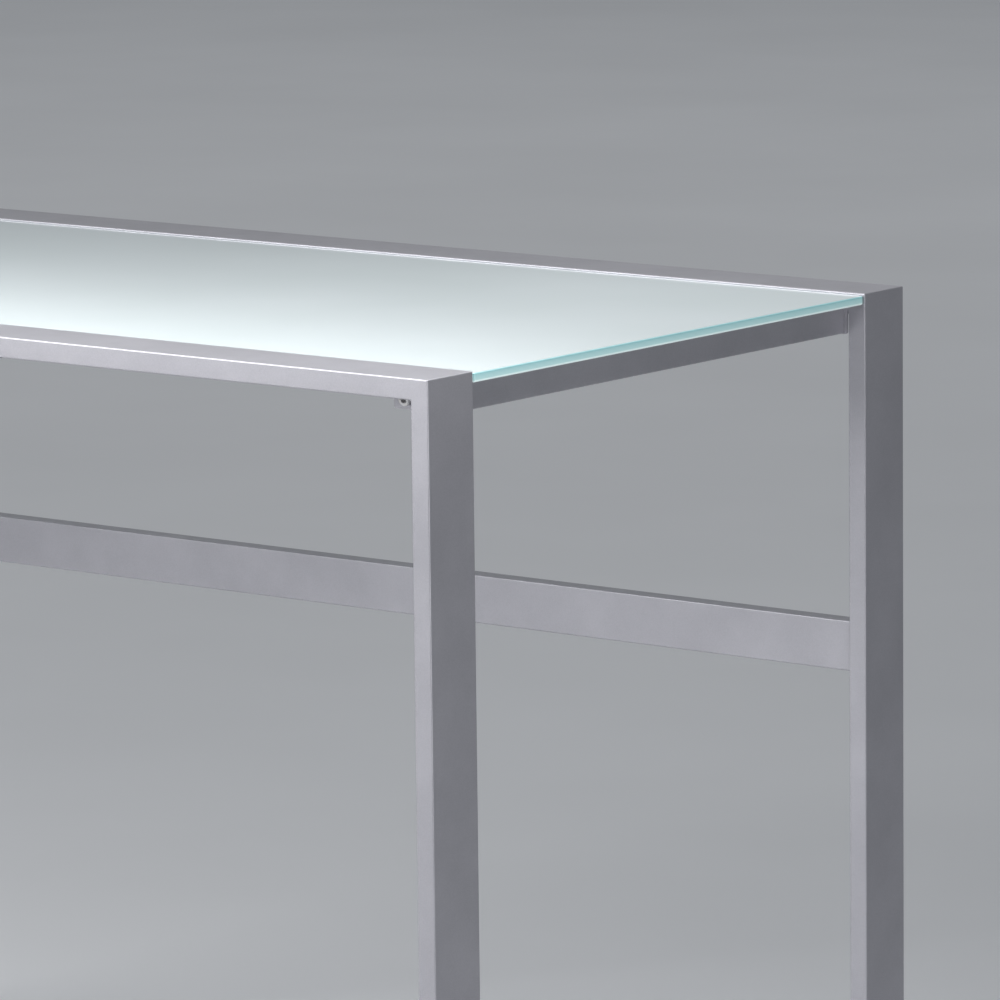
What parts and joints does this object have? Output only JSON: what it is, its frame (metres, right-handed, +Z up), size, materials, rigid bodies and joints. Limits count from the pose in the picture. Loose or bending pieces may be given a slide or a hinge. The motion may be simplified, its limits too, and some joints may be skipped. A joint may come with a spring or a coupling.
{
  "type": "computer desk with keyboard tray",
  "caption": "Glass-topped computer desk on a silver flat-tube steel frame, with a keyboard tray that slides out on ball-bearing slides.",
  "frame": {"origin": "on the floor under the middle of the desk", "axes": "+X along the desk's length towards the sitter's right, -Y out of the front edge, +Z up"},
  "size_m": [1.2, 0.57, 0.75],
  "materials": {
    "powder_coated_steel": "satin",
    "zinc_plated_steel": "satin",
    "back_painted_glass": "gloss",
    "clear_pads": "satin",
    "black_plastic": "matte",
    "black_rubber": "matte",
    "ball_steel": "polished"
  },
  "bodies": {
    "desk": {"front_top_rail": "powder_coated_steel", "front_right_leg": "powder_coated_steel", "front_left_leg": "powder_coated_steel", "rear_top_rail": "powder_coated_steel", "rear_right_leg": "powder_coated_steel", "rear_left_leg": "powder_coated_steel", "rear_stretcher": "powder_coated_steel", "right_side_rail": "powder_coated_steel", "left_side_rail": "powder_coated_steel", "centre_rail": "powder_coated_steel", "front_right_tab": "powder_coated_steel", "front_left_tab": "powder_coated_steel", "front_centre_tab": "powder_coated_steel", "rear_right_tab": "powder_coated_steel", "rear_left_tab": "powder_coated_steel", "rear_centre_tab": "powder_coated_steel", "rail_end_plates": "zinc_plated_steel", "frame_bolts": "zinc_plated_steel", "glass_pads": "clear_pads", "glass_top": "back_painted_glass", "front_right_foot": "black_plastic", "front_left_foot": "black_plastic", "rear_right_foot": "black_plastic", "rear_left_foot": "black_plastic", "right_hanger": "powder_coated_steel", "left_hanger": "powder_coated_steel", "hanger_screws": "zinc_plated_steel", "rivet_nuts": "zinc_plated_steel", "right_slide_outer": "zinc_plated_steel", "left_slide_outer": "zinc_plated_steel", "slide_bumpers": "black_rubber", "outer_slide_screws": "zinc_plated_steel"},
    "tray": {"right_slide_inner": "zinc_plated_steel", "left_slide_inner": "zinc_plated_steel", "inner_slide_screws": "zinc_plated_steel", "tray_right_bar": "powder_coated_steel", "tray_left_bar": "powder_coated_steel", "tray_front_bar": "powder_coated_steel", "tray_rear_bar": "powder_coated_steel", "tray_ledges": "powder_coated_steel", "tray_pads": "clear_pads", "tray_glass": "back_painted_glass", "tray_bar_plugs": "black_plastic"},
    "ball_cages": {"right_ball_cage": "zinc_plated_steel", "left_ball_cage": "zinc_plated_steel", "slide_balls": "ball_steel"}
  },
  "joints": [
    {"name": "tray_slide", "type": "slide", "parent": "desk", "child": "tray", "axis": [0, -1, 0], "range_m": [0, 0.2]},
    {"name": "ball_cage_slide", "type": "slide", "parent": "desk", "child": "ball_cages", "axis": [0, -1, 0], "range_m": [0, 0.1]}
  ],
  "couplings": [
    {"joint": "ball_cage_slide", "follows": "tray_slide", "ratio": 0.5}
  ]
}
